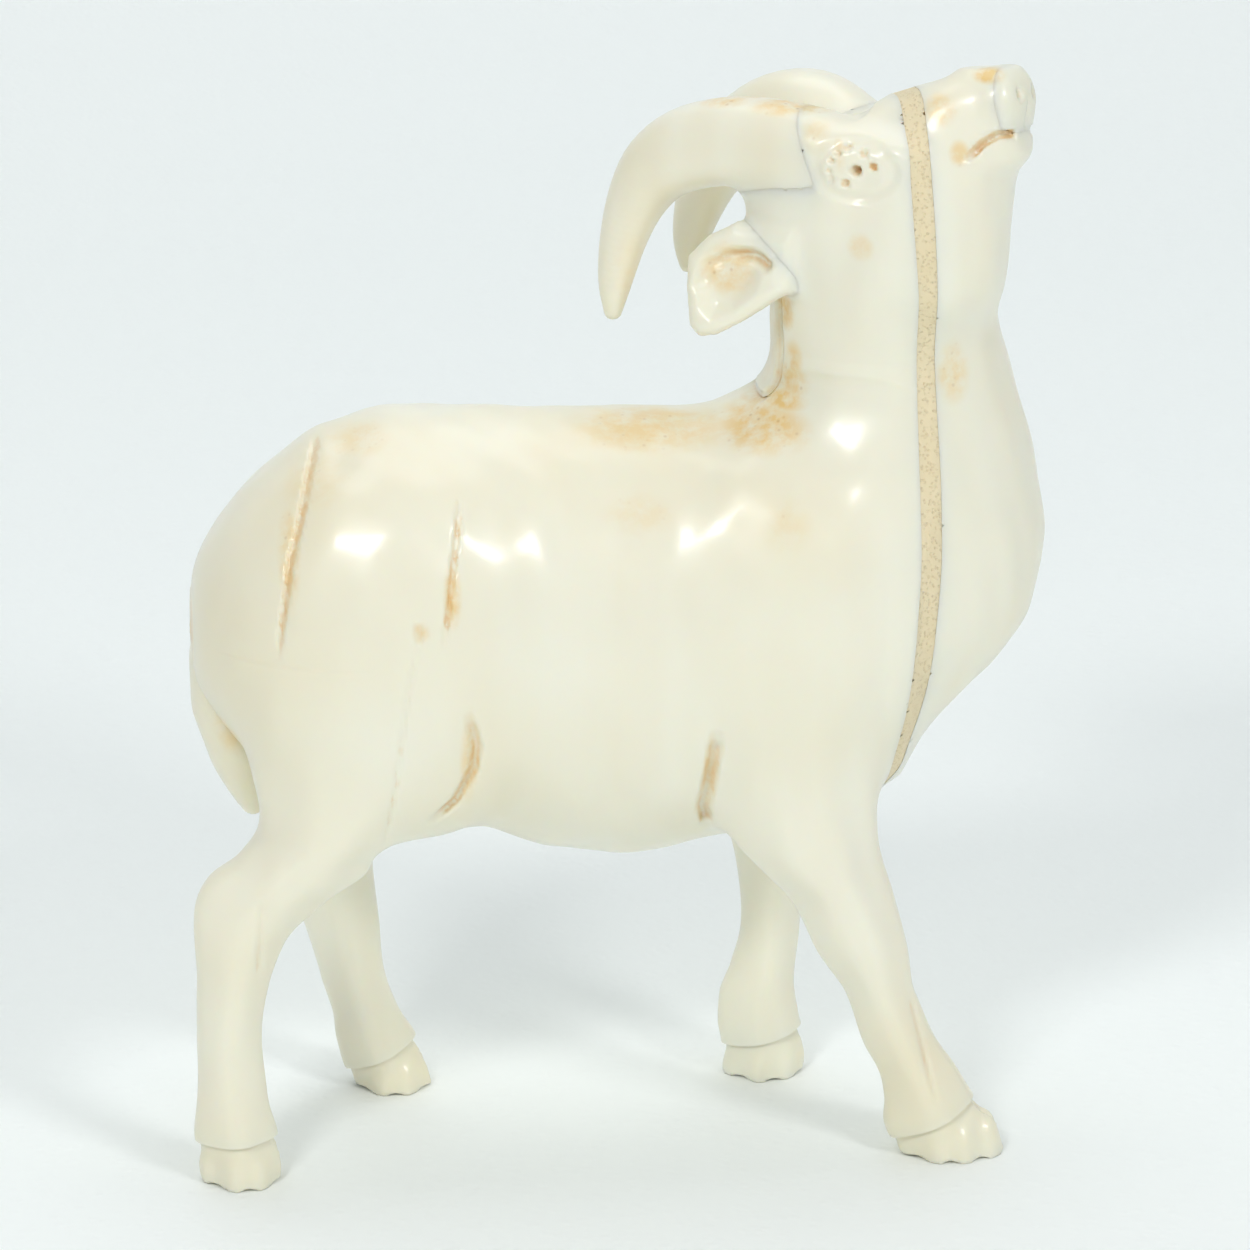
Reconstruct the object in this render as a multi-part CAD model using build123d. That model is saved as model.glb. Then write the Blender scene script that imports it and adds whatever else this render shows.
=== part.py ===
from build123d import *
import os
from math import atan2, cos, degrees, radians, sin

# A carved, polished figurine of a standing ram with its head raised and turned to its right.
# Millimetres. +Z is up, the ram faces +X and its left side is +Y. The soles stand on Z = 0.
# It is laid out about its own mid-plane, then moved so that the origin is the middle of the
# ground rectangle that the whole ram covers.

# ---------------------------------------------------------------- driving dimensions
GROUND_CENTRE = Vector(-0.24, 1.43, 0.0)    # middle of the ground rectangle, before the move
PEG_GAP = 0.05            # glue gap round every peg and at the end of its socket
BAND_THICKNESS = 1.8      # tan layer through the neck
LEG_TRACK = 10.5          # hoof centre to the mid-plane
HORN_SPREAD = 6.5         # horn centre-line to the head's own mid-plane

HEAD_PIVOT = Vector(22.1, -1.0, 86.3)
HEAD_YAW = -34.0          # degrees, turned to the animal's right
HEAD_ROLL = -7.0          # degrees about the head's own forward axis

# torso sections: (x, z centre, half width, half height)
TORSO = [
    (-36.9, 47.0, 3.6, 4.6),
    (-35.6, 47.2, 7.2, 7.6),
    (-33.0, 47.3, 10.0, 11.4),
    (-29.4, 47.3, 12.2, 14.8),
    (-25.0, 47.4, 13.4, 17.7),
    (-19.0, 47.9, 14.0, 18.8),
    (-13.0, 47.9, 14.0, 18.7),
    (-6.0, 46.2, 14.3, 19.8),
    (1.0, 45.8, 14.5, 20.2),
    (8.0, 46.2, 14.3, 19.4),
    (16.0, 47.2, 13.6, 17.6),
    (22.0, 48.4, 12.0, 14.2),
]

# neck and breast sections: (z, x centre, half length, half width)
NECK = [
    (30.5, 16.5, 6.0, 6.0),
    (34.7, 17.4, 8.2, 8.6),
    (39.2, 18.0, 11.2, 10.8),
    (43.7, 19.5, 15.1, 12.4),
    (48.3, 20.0, 17.0, 13.2),
    (54.2, 20.3, 17.5, 13.2),
    (60.0, 21.3, 15.8, 12.2),
    (64.4, 22.9, 13.3, 11.0),
    (68.9, 24.1, 10.8, 9.8),
    (74.4, 23.6, 9.8, 9.0),
    (78.0, 23.8, 9.8, 8.6),
]

# head sections in the head's own axes: (height, forward centre, half length, half width)
HEAD = [
    (-15.5, 1.2, 7.6, 7.2),
    (-11.5, 2.3, 9.2, 8.3),
    (-8.0, 3.0, 9.7, 8.7),
    (-2.0, 3.2, 9.6, 8.7),
    (2.0, 3.7, 9.2, 8.1),
    (4.6, 4.8, 8.2, 6.8),
    (6.8, 6.8, 6.4, 4.8),
    (8.6, 8.6, 4.4, 3.2),
    (9.9, 10.2, 2.2, 1.8),
]

# muzzle sections: (forward, height, half width, half depth)
MUZZLE = [
    (4.0, 3.8, 5.6, 4.2),
    (9.0, 5.8, 4.4, 4.2),
    (12.2, 7.0, 3.8, 3.7),
    (13.9, 7.3, 2.8, 2.8),
]
NOSE_PAD_FROM = 12.2      # forward position of the nose pad's rear face
MOUTH_HEIGHT = 5.9

# horn centre-line in the head's own axes: (forward, height, radius)
HORN = [
    (-1.8, 2.9, 3.8),
    (-6.0, 3.2, 3.65),
    (-10.6, 3.0, 3.75),
    (-14.6, 1.9, 3.7),
    (-17.6, -0.2, 3.1),
    (-19.5, -3.4, 2.4),
    (-20.5, -7.0, 1.9),
    (-20.9, -10.6, 1.45),
    (-20.9, -13.6, 0.6),
]

# ear sections in the head's own axes: (forward, side, height, half length, half thickness)
EAR = [
    (-3.8, 7.2, -5.0, 1.5, 1.3),
    (-5.6, 8.6, -6.2, 3.0, 1.5),
    (-8.0, 10.2, -8.2, 4.0, 1.5),
    (-9.6, 11.3, -10.8, 3.5, 1.2),
    (-10.2, 12.0, -13.4, 1.6, 0.8),
]
EAR_AXIS = Vector(-0.58, 0.44, -0.69)
HORN_PEG = ((-5.0, 6.2, 3.2), (-1.5, 2.6, 0.2))    # from, to: (forward, side, height)
HORN_PEG_RADIUS = 1.7
EAR_PEG = ((-4.8, 8.0, -5.8), (-1.8, 4.4, -4.8))
EAR_PEG_RADIUS = 0.9
NOSE_PEG_RADIUS = 1.0
NOSE_PEG_LENGTH = 3.0

# legs: (z, x centre, distance from the mid-plane, half length, half width), torso to sole
LEG_REAR_RIGHT = [
    (44.0, -24.5, 6.5, 9.5, 6.0),
    (37.0, -25.4, 8.2, 8.6, 5.4),
    (31.0, -26.8, 9.7, 7.1, 4.4),
    (28.4, -29.0, 10.1, 7.4, 3.8),
    (25.6, -32.0, 10.4, 5.6, 3.4),
    (22.5, -33.6, LEG_TRACK, 4.2, 3.2),
    (18.0, -34.4, LEG_TRACK, 3.15, 3.0),
    (12.0, -34.9, LEG_TRACK, 2.9, 2.8),
    (7.9, -34.8, LEG_TRACK, 3.1, 3.0),
    (4.5, -34.4, LEG_TRACK, 3.6, 3.4),
    (0.0, -33.9, LEG_TRACK, 3.4, 3.3),
]
LEG_REAR_LEFT = [
    (44.0, -24.5, 6.5, 9.2, 6.0),
    (37.0, -25.0, 8.2, 7.8, 5.4),
    (30.0, -25.6, 9.6, 5.6, 4.4),
    (24.0, -25.0, 10.2, 4.2, 3.7),
    (16.0, -23.8, LEG_TRACK, 3.4, 3.1),
    (11.1, -22.8, LEG_TRACK, 2.9, 2.8),
    (8.7, -22.1, LEG_TRACK, 2.9, 2.8),
    (6.0, -21.2, LEG_TRACK, 3.5, 3.2),
    (3.7, -20.2, LEG_TRACK, 3.8, 3.4),
    (0.0, -19.1, LEG_TRACK, 3.6, 3.4),
]
LEG_FRONT_RIGHT = [
    (42.0, 14.0, 6.5, 8.0, 5.5),
    (35.0, 14.6, 8.4, 7.2, 5.0),
    (29.2, 16.0, 9.6, 6.2, 4.4),
    (24.4, 18.9, 10.2, 4.7, 3.8),
    (19.7, 20.7, LEG_TRACK, 4.1, 3.4),
    (15.0, 22.4, LEG_TRACK, 3.05, 2.9),
    (10.1, 24.4, LEG_TRACK, 3.3, 2.9),
    (6.5, 26.4, LEG_TRACK, 3.8, 3.2),
    (3.5, 27.6, LEG_TRACK, 4.6, 3.4),
    (0.0, 29.0, LEG_TRACK, 4.6, 3.4),
]
LEG_FRONT_LEFT = [
    (42.0, 14.0, 6.5, 7.8, 5.5),
    (35.0, 14.4, 8.4, 6.6, 5.0),
    (28.0, 15.0, 9.8, 4.8, 4.2),
    (20.0, 15.4, 10.4, 3.3, 3.2),
    (14.0, 15.2, LEG_TRACK, 2.7, 2.7),
    (9.6, 14.5, LEG_TRACK, 3.0, 2.9),
    (6.0, 14.1, LEG_TRACK, 3.7, 3.2),
    (3.0, 14.6, LEG_TRACK, 3.9, 3.4),
    (0.0, 14.8, LEG_TRACK, 3.7, 3.4),
]
LEGS = {
    # name: (sections, side, coronet x, coronet z, forward rise of the coronet in degrees)
    "hoof_rear_right": (LEG_REAR_RIGHT, -1, -34.3, 4.1, 3.0),
    "hoof_rear_left": (LEG_REAR_LEFT, 1, -19.9, 3.6, 24.0),
    "hoof_front_right": (LEG_FRONT_RIGHT, -1, 27.7, 3.8, 26.0),
    "hoof_front_left": (LEG_FRONT_LEFT, 1, 14.5, 3.7, 12.0),
}
HOOF_PEG_RADIUS = 1.3
HOOF_PEG_LENGTH = 3.0

# tail sections, top to tip: (x, z, half thickness, half width)
TAIL = [
    (-35.4, 45.0, 1.2, 1.4),
    (-35.4, 41.5, 1.8, 2.1),
    (-34.2, 37.0, 2.1, 2.5),
    (-33.0, 33.2, 1.8, 2.2),
    (-31.9, 30.4, 0.8, 1.0),
]
TAIL_PEG = ((-34.4, 0.0, 37.6), (-30.6, 0.0, 40.4))
TAIL_PEG_RADIUS = 1.1

# mid-line of the tan layer, seen from the side: (x, z), low to high
BAND_LINE = [(21.4, 26.0), (24.0, 36.0), (25.4, 46.0), (26.1, 58.0), (25.7, 76.0), (24.3, 100.0)]

# nape ridge: side outline (x, z) and half width
NAPE_OUTLINE = [
    (8.0, 67.2), (15.8, 68.0), (15.8, 70.4), (15.2, 73.2), (14.9, 76.0), (12.5, 79.2), (8.0, 79.2),
]
NAPE_HALF_WIDTH = 2.8

# tenons of the throat block, through the tan layer: (z, radius)
THROAT_TENONS = [(46.0, 3.0), (72.0, 2.4)]
TENON_FROM = 29.0
TENON_TO = 20.0

FAR = 60.0                # reach of the cutting blocks

# ---------------------------------------------------------------- head axes
_forward = Vector(cos(radians(HEAD_YAW)), sin(radians(HEAD_YAW)), 0)
_level_left = Vector(-sin(radians(HEAD_YAW)), cos(radians(HEAD_YAW)), 0)
_left = _level_left * cos(radians(HEAD_ROLL)) + Vector(0, 0, sin(radians(HEAD_ROLL)))
_up = _forward.cross(_left)


def in_head(forward, side, height):
    """A point given in the head's own axes."""
    return HEAD_PIVOT + _forward * forward + _left * side + _up * height


def along_head(forward, side, height):
    """A direction given in the head's own axes."""
    return (_forward * forward + _left * side + _up * height).normalized()


# ---------------------------------------------------------------- helpers
def oval(centre, normal, across, half_across, half_other):
    """An elliptical section at centre, facing normal, with half_across measured along across."""
    return Plane(origin=centre, x_dir=across, z_dir=normal) * Ellipse(half_across, half_other)


def faired(rows, count):
    """The rows resampled at even steps along their own outline, with no overshoot between them."""
    spans = [sum((q - p) ** 2 for p, q in zip(a, b)) ** 0.5 for a, b in zip(rows, rows[1:])]
    starts = [sum(spans[:i]) for i in range(len(spans))]
    slopes = []
    for c in range(len(rows[0])):
        rates = [(b[c] - a[c]) / span for a, b, span in zip(rows, rows[1:], spans)]
        inner = [0.0 if p * q <= 0 else 2 * p * q / (p + q) for p, q in zip(rates, rates[1:])]
        slopes.append([rates[0], *inner, rates[-1]])
    result = []
    for k in range(count):
        reach = sum(spans) * k / (count - 1)
        i = max(n for n, start in enumerate(starts) if start <= reach)
        u = min((reach - starts[i]) / spans[i], 1.0)
        result.append([
            (1 + 2 * u) * (1 - u) ** 2 * rows[i][c]
            + u * (1 - u) ** 2 * spans[i] * slope[i]
            + u * u * (3 - 2 * u) * rows[i + 1][c]
            + u * u * (u - 1) * spans[i] * slope[i + 1]
            for c, slope in enumerate(slopes)
        ])
    return result


def tapered(sections):
    """A smooth solid through a list of sections."""
    return loft(sections)


def peg(start, direction, length, radius):
    """A round peg from start along direction."""
    plane = Plane(origin=start, z_dir=direction)
    return plane * Cylinder(radius, length, align=(Align.CENTER, Align.CENTER, Align.MIN))


def socket(start, direction, length, radius):
    """The hole for a peg of the same arguments, with its glue gap."""
    return peg(start, direction, length + PEG_GAP, radius + PEG_GAP)


# ---------------------------------------------------------------- volumes
def torso_volume():
    return tapered([oval((x, 0, z), (1, 0, 0), (0, 1, 0), w, h) for x, z, w, h in faired(TORSO, 14)])


def neck_volume():
    return tapered([oval((x, 0, z), (0, 0, 1), (1, 0, 0), a, b) for z, x, a, b in faired(NECK, 10)])


def head_volume():
    skull = tapered([oval(in_head(f, 0, h), _up, _forward, a, b) for h, f, a, b in faired(HEAD, 9)])
    muzzle = tapered([oval(in_head(f, 0, h), _forward, _left, w, d) for f, h, w, d in MUZZLE])
    return skull + muzzle


def leg_volume(sections, side):
    rows = faired(sections, 12)
    return tapered([oval((x, side * y, z), (0, 0, 1), (1, 0, 0), a, b) for z, x, y, a, b in rows])


def horn_volume(side):
    sections = []
    for i, (f, h, radius) in enumerate(HORN):
        before = HORN[max(i - 1, 0)]
        after = HORN[min(i + 1, len(HORN) - 1)]
        tangent = along_head(after[0] - before[0], 0, after[1] - before[1])
        sections.append(oval(in_head(f, side * HORN_SPREAD, h), tangent, _left, radius, radius))
    return tapered(sections)


def ear_volume(side):
    axis = along_head(EAR_AXIS.X, side * EAR_AXIS.Y, EAR_AXIS.Z)
    flat = along_head(0.7, side * 0.05, -0.71)
    across = (flat - axis * flat.dot(axis)).normalized()
    return tapered([oval(in_head(f, side * s, h), axis, across, a, b) for f, s, h, a, b in EAR])


def tail_volume():
    sections = []
    for i, (x, z, thick, wide) in enumerate(TAIL):
        before = TAIL[max(i - 1, 0)]
        after = TAIL[min(i + 1, len(TAIL) - 1)]
        tangent = Vector(after[0] - before[0], 0, after[1] - before[1]).normalized()
        sections.append(oval((x, 0, z), tangent, (0, 1, 0), wide, thick))
    return tapered(sections)


def slab_between(x_low, x_high):
    """Everything between two copies of the band line, or beyond one where the other is None."""
    low_z = BAND_LINE[0][1]
    high_z = BAND_LINE[-1][1]

    def shifted(offset):
        return [(x + offset, z) for x, z in BAND_LINE]

    near = shifted(x_low) if x_low is not None else [(-FAR, low_z), (-FAR, high_z)]
    far = shifted(x_high) if x_high is not None else [(FAR, low_z), (FAR, high_z)]

    def edge(points):
        return Spline(*points) if len(points) > 2 else Line(*points)

    outline = [edge(near), Line(near[-1], far[-1]), edge(far), Line(near[0], far[0])]
    return extrude(Plane.XZ * make_face(outline), amount=FAR, both=True)


def under_coronet(x, y, z, rise):
    """The space below a coronet plane that rises forward."""
    return Pos(x, y, z) * Rot(0, -rise, 0) * Pos(0, 0, -10) * Box(24, 10, 20)


def nape_space():
    outline = Polyline(*NAPE_OUTLINE, close=True)
    return extrude(Plane.XZ * make_face(outline), amount=NAPE_HALF_WIDTH, both=True)


def nose_space():
    """The space in front of the nose line and above the mouth."""
    plane = Plane(origin=in_head(NOSE_PAD_FROM, 0, MOUTH_HEIGHT), x_dir=_forward, z_dir=_up)
    return plane * Box(10, 20, 12, align=(Align.MIN, Align.CENTER, Align.MIN))


def largest(shape):
    """The largest solid of a shape, without the crumbs that a cut can leave."""
    return max(shape.solids(), key=lambda solid: solid.volume)


def peg_between(ends, side, radius, where=in_head, gap=0.0):
    """A peg between two points, the second of them its far end."""
    (a0, s0, h0), (a1, s1, h1) = ends
    start = where(a0, side * s0, h0)
    reach = where(a1, side * s1, h1) - start
    return peg(start, reach, reach.length + gap, radius + gap)


# ---------------------------------------------------------------- the assembly
def build():
    nodes = {}
    trunk = torso_volume() + neck_volume() + head_volume()
    legs = [leg_volume(sections, side) for sections, side, *_ in LEGS.values()]

    # the tan layer splits the trunk into a rear part, which keeps the legs, and a throat part
    half = BAND_THICKNESS / 2
    band = trunk & slab_between(-half, half)
    throat = trunk & slab_between(half, None)
    whole = trunk
    for leg in legs:
        whole = whole + leg
        band = band - leg
        throat = throat - leg
    band = largest(band)
    throat = largest(throat)
    rear = largest(whole - band - throat)

    # tenons of the throat block
    for z, radius in THROAT_TENONS:
        start = (TENON_FROM, 0, z)
        length = TENON_FROM - TENON_TO
        hole = socket(start, (-1, 0, 0), length, radius)
        throat = throat + peg(start, (-1, 0, 0), length, radius)
        band = band - hole
        rear = rear - hole

    # nape ridge
    nodes["nape_ridge"] = largest(rear & nape_space())
    rear = rear - nape_space()

    # hooves, each with a peg up into its shank
    for name, (_, side, x, z, rise) in LEGS.items():
        y = side * LEG_TRACK
        space = under_coronet(x, y, z, rise)
        start = (x, y, z - 1.0)
        length = HOOF_PEG_LENGTH + 1.0
        nodes[name] = (rear & space) + peg(start, (0, 0, 1), length, HOOF_PEG_RADIUS)
        rear = rear - space - socket(start, (0, 0, 1), length, HOOF_PEG_RADIUS)

    # horns and ears, pegged in the skull
    for side, word in ((-1, "right"), (1, "left")):
        horn = largest(horn_volume(side) - whole)
        nodes["horn_" + word] = horn + peg_between(HORN_PEG, side, HORN_PEG_RADIUS)
        rear = rear - peg_between(HORN_PEG, side, HORN_PEG_RADIUS, gap=PEG_GAP)
        ear = largest(ear_volume(side) - whole)
        nodes["ear_" + word] = ear + peg_between(EAR_PEG, side, EAR_PEG_RADIUS)
        rear = rear - peg_between(EAR_PEG, side, EAR_PEG_RADIUS, gap=PEG_GAP)

    # tail, pegged in the rump
    tail = largest(tail_volume() - whole)
    nodes["tail"] = tail + peg_between(TAIL_PEG, 1, TAIL_PEG_RADIUS, where=Vector)
    rear = rear - peg_between(TAIL_PEG, 1, TAIL_PEG_RADIUS, where=Vector, gap=PEG_GAP)

    # nose pad, pegged in the muzzle
    nose_start = in_head(NOSE_PAD_FROM + 0.6, 0, MOUTH_HEIGHT + 2.2)
    nose_reach = NOSE_PEG_LENGTH + 0.6
    pad = throat & nose_space()
    nodes["nose_pad"] = pad + peg(nose_start, -_forward, nose_reach, NOSE_PEG_RADIUS)
    throat = throat - nose_space() - socket(nose_start, -_forward, nose_reach, NOSE_PEG_RADIUS)

    nodes["body_block"] = rear
    nodes["neck_band"] = band
    nodes["throat_block"] = throat
    return nodes


def main():
    os.makedirs("parts", exist_ok=True)
    for name, shape in build().items():
        shape = Pos(-GROUND_CENTRE) * shape
        shape.label = name
        export_step(shape, f"parts/{name}.step")


main()
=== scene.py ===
"""A carved, polished ram figurine: the looks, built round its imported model.

The whole ram is one distance field, in millimetres. Every piece is cut from that one field along
its seams, so the carved surface runs through them, and each piece replaces its own CAD node.
"""

import math

import bpy
import numpy as np
import openvdb
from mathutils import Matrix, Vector


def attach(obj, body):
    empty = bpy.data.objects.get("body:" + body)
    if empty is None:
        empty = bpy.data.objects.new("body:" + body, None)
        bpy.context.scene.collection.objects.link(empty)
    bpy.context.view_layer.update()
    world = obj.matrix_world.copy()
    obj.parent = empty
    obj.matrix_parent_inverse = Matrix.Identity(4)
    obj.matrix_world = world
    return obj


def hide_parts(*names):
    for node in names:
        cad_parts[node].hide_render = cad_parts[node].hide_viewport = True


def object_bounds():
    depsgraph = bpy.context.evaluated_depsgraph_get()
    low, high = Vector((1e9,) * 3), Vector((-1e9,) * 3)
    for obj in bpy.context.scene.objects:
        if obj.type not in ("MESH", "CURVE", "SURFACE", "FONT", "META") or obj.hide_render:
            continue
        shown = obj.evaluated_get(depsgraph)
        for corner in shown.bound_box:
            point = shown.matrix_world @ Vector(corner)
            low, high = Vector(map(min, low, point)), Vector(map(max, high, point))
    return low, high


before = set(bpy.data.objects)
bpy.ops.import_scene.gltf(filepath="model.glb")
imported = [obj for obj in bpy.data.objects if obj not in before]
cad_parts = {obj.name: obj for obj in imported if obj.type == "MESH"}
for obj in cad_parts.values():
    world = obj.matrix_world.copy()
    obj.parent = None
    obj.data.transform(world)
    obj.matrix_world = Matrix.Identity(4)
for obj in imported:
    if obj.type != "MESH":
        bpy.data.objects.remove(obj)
CAD_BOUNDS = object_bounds()

MM = 0.001
VOXEL = 0.29          # mm
MARGIN = 2.0                                 # mm of grid round the CAD box
EMPTY = 40.0                                 # mm, the distance that stands for open space
FIELD_LIMIT = 12.0                           # mm, as far as a piece's own field is followed
SETTLE_REACH = 0.72 * VOXEL                  # points this near a surface are moved onto it
HOLLOW_REACH = 0.7                           # mm out from the skin at which hollows are judged
SEAM = 0.004                                 # mm, half the width of every seam
MID_Y = -1.43                                # the ram's own mid-plane, in the frame, mm
SHIFT_X = 0.24                               # the ram's drawing zero, in the frame, mm

# ---------------------------------------------------------------- the ram's sections, in mm
# torso: (x, z centre, half width, half height)
TORSO = [
    (-37.4, 47.4, 0.9, 1.2), (-36.9, 47.6, 4.2, 4.7), (-35.6, 48.0, 7.6, 7.4),
    (-33.0, 48.1, 10.3, 11.0), (-29.4, 47.5, 12.3, 15.0), (-25.0, 47.4, 13.4, 18.0),
    (-19.0, 47.9, 13.9, 19.0), (-13.0, 47.8, 13.9, 18.9), (-6.0, 46.6, 14.2, 19.7),
    (1.0, 46.1, 14.4, 20.1), (8.0, 46.5, 14.2, 19.3), (16.0, 47.2, 13.4, 17.6),
    (22.0, 48.4, 11.6, 13.6),
]
# neck and breast: (z, x centre, half length, half width)
NECK = [
    (28.5, 17.0, 3.0, 4.0), (31.0, 17.0, 6.2, 6.4), (34.7, 17.5, 8.4, 8.8),
    (39.2, 18.0, 11.6, 10.8), (43.7, 19.2, 14.8, 12.4), (48.3, 20.0, 16.8, 13.2),
    (54.2, 20.3, 17.5, 13.2), (60.0, 21.3, 15.8, 12.2), (64.4, 22.9, 13.2, 11.0),
    (68.9, 24.1, 10.7, 9.7), (74.4, 23.7, 9.7, 9.0), (80.0, 23.8, 9.3, 8.5), (88.0, 24.2, 8.0, 7.4),
]
# head, in its own axes: (height, forward centre, half length, half width)
HEAD = [
    (-15.0, 0.6, 5.8, 5.4), (-12.0, 1.4, 7.8, 6.9), (-8.0, 2.7, 9.4, 8.3), (-5.5, 3.0, 9.6, 8.6),
    (-2.0, 3.2, 9.6, 8.7), (2.0, 3.7, 9.2, 8.1), (4.6, 4.8, 8.0, 6.6),
    (6.8, 6.8, 6.0, 4.6), (8.6, 8.6, 4.0, 3.0), (9.8, 10.2, 1.4, 1.2),
]
# muzzle, in the head's axes: (forward, height, half width, half depth)
MUZZLE = [
    (2.0, 3.0, 6.4, 4.4), (6.0, 4.9, 5.3, 4.3), (9.5, 6.4, 4.4, 4.2),
    (12.0, 7.2, 3.6, 3.8), (14.4, 7.6, 3.1, 3.4),
]
# legs, torso to sole: (z, x centre, distance from the mid-plane, half length, half width)
LEGS = {
    "rear_right": (-1, [
        (0.0, -33.9, 10.5, 3.4, 3.4), (2.0, -34.0, 10.5, 3.6, 3.4), (4.5, -34.5, 10.5, 3.5, 3.2),
        (7.9, -34.8, 10.5, 3.1, 3.0), (12.0, -34.9, 10.5, 2.9, 2.8), (18.0, -34.5, 10.5, 3.1, 2.9),
        (22.0, -33.8, 10.5, 4.0, 3.1), (25.4, -32.2, 10.4, 5.5, 3.3), (28.0, -29.6, 10.1, 6.8, 3.8),
        (29.8, -27.9, 9.9, 6.0, 4.2), (31.8, -26.2, 9.5, 6.0, 4.7), (37.0, -24.4, 8.2, 7.8, 5.6),
        (46.0, -23.6, 6.0, 9.3, 6.8),
    ]),
    "rear_left": (1, [
        (0.0, -19.1, 10.5, 3.5, 3.4), (2.2, -19.8, 10.5, 3.8, 3.4), (4.6, -20.7, 10.5, 3.6, 3.2),
        (7.6, -21.7, 10.5, 3.0, 2.9), (11.1, -22.8, 10.5, 2.9, 2.8), (16.0, -23.7, 10.5, 3.4, 3.0),
        (24.0, -25.2, 10.1, 4.4, 3.7), (30.0, -25.8, 9.5, 5.9, 4.5), (37.0, -25.2, 8.2, 8.0, 5.6),
        (46.0, -24.5, 6.0, 9.4, 6.8),
    ]),
    "front_right": (-1, [
        (0.0, 29.0, 10.5, 4.7, 3.5), (2.6, 27.9, 10.5, 4.8, 3.4), (5.3, 26.8, 10.5, 3.9, 3.2),
        (7.7, 25.8, 10.5, 3.5, 3.0), (10.6, 24.2, 10.5, 3.2, 2.8), (15.0, 22.4, 10.5, 3.0, 2.8),
        (19.7, 20.6, 10.5, 4.1, 3.4), (24.4, 18.8, 10.1, 4.7, 3.8), (29.2, 16.0, 9.5, 6.2, 4.5),
        (35.0, 14.8, 8.4, 7.3, 5.2), (44.0, 14.0, 6.4, 8.2, 6.4),
    ]),
    "front_left": (1, [
        (0.0, 14.8, 10.5, 3.7, 3.5), (2.6, 14.8, 10.5, 3.9, 3.4), (5.2, 14.2, 10.5, 3.7, 3.2),
        (7.6, 14.1, 10.5, 3.4, 3.0), (10.2, 14.6, 10.5, 2.9, 2.8), (14.0, 15.2, 10.5, 2.7, 2.7),
        (20.0, 15.4, 10.3, 3.3, 3.2), (28.0, 15.0, 9.6, 4.9, 4.3), (35.0, 14.6, 8.4, 6.8, 5.2),
        (44.0, 14.0, 6.4, 8.0, 6.4),
    ]),
}
# hooves: (leg, coronet x, coronet z, forward rise of the coronet in degrees)
HOOVES = {
    "hoof_rear_right": ("rear_right", -34.3, 4.1, 3.0),
    "hoof_rear_left": ("rear_left", -19.9, 3.6, 24.0),
    "hoof_front_right": ("front_right", 27.7, 3.8, 26.0),
    "hoof_front_left": ("front_left", 14.5, 3.7, 12.0),
}
# horn centre-lines, in the head's axes: (forward, height, radius)
HORN_RIGHT = [
    (-0.8, 2.2, 3.1), (-3.2, 2.9, 3.8), (-6.4, 3.2, 3.8), (-10.6, 3.0, 3.8), (-14.6, 1.9, 3.7),
    (-17.6, -0.2, 3.1), (-19.4, -3.4, 2.45), (-20.4, -7.0, 1.95), (-20.9, -10.6, 1.5),
    (-20.9, -13.2, 0.8),
]
HORN_LEFT = [
    (-0.8, -1.6, 2.4), (-3.0, 0.6, 3.3), (-5.8, 3.0, 3.8), (-9.2, 4.6, 3.9), (-13.2, 3.7, 3.7),
    (-16.8, 0.9, 3.2), (-18.9, -2.6, 2.5), (-19.9, -5.8, 2.0), (-20.4, -8.4, 1.5),
    (-20.4, -10.4, 0.8),
]
HORN_SIDE = 6.5
# ear outline, in the head's axes, seen from its side: (forward, height)
EAR_OUTLINE = [
    (-3.0, -4.4), (-5.4, -4.2), (-8.2, -3.6), (-10.6, -4.9), (-12.3, -6.9), (-12.2, -9.6),
    (-11.6, -12.9), (-10.6, -13.8), (-9.0, -13.5), (-6.6, -12.0), (-4.6, -10.4), (-3.0, -9.0),
]
# tail, top to tip: (x, z, half thickness, half width)
TAIL = [
    (-36.4, 48.2, 0.15, 0.4), (-36.3, 46.0, 0.9, 1.5), (-35.6, 42.6, 1.7, 2.4),
    (-34.7, 39.4, 2.3, 2.9), (-33.5, 35.8, 2.3, 2.7), (-32.6, 32.6, 1.6, 2.0),
    (-32.0, 30.4, 0.7, 0.9),
]
# mid-line of the tan layer: (z, x, half thickness)
BAND = [
    (26.0, 21.0, 0.2), (31.0, 22.6, 0.25), (36.0, 24.0, 0.6), (46.0, 25.4, 0.9),
    (58.0, 26.1, 0.95), (76.0, 25.7, 0.8), (86.0, 25.1, 0.9), (100.0, 24.3, 0.9),
]
# nape ridge, side outline: (x, z)
NAPE = [
    (8.0, 67.2), (15.8, 68.0), (15.8, 70.4), (15.2, 73.2), (14.9, 76.0), (12.5, 79.2), (8.0, 79.2),
]
NAPE_HALF_WIDTH = 2.8

HEAD_PIVOT = (22.1, -1.0, 86.3)
HEAD_YAW = math.radians(-34.0)
HEAD_ROLL = math.radians(-7.0)
COS_YAW, SIN_YAW = math.cos(HEAD_YAW), math.sin(HEAD_YAW)
COS_ROLL, SIN_ROLL = math.cos(HEAD_ROLL), math.sin(HEAD_ROLL)
# in the head's axes, mm
NOSE_FROM = 12.2                 # forward
MOUTH_HEIGHT = 5.9
EYE = (2.7, 2.1)                 # forward, height


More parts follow.
